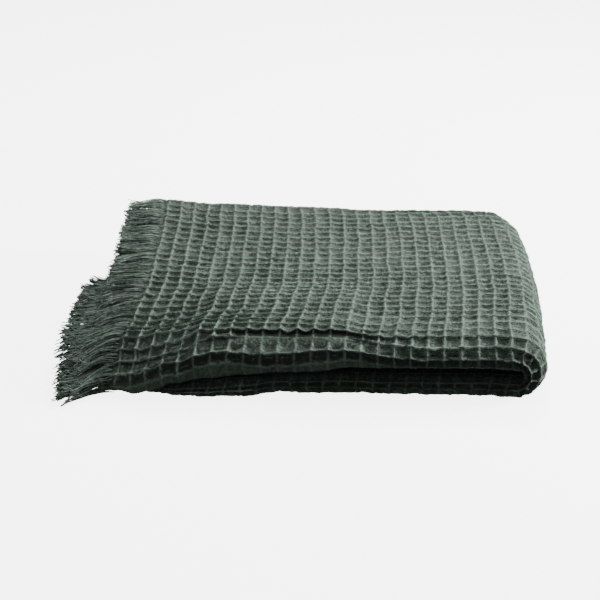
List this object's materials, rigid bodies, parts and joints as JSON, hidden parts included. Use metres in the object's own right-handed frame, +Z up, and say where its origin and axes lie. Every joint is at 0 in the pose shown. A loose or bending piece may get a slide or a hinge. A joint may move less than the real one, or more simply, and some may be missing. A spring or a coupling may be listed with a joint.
{
  "type": "throw blanket",
  "caption": "Waffle-weave throw blanket, folded flat into a low pack with rolled front edges and loose fringes at one end.",
  "frame": {"origin": "centre of the bounding box at the surface that the blanket lies on", "axes": "+X along the folded length from the fringe to the bend, +Y towards the open back edges, +Z up"},
  "size_m": [0.4763, 0.3657, 0.066],
  "materials": {
    "waffle_cloth": "matte cotton waffle weave, grey green",
    "fringe_yarn": "matte loose cotton yarn, grey green"
  },
  "bodies": {
    "root": {"cloth_body": "waffle_cloth", "fringe_upper": "fringe_yarn", "fringe_lower": "fringe_yarn"}
  },
  "joints": []
}
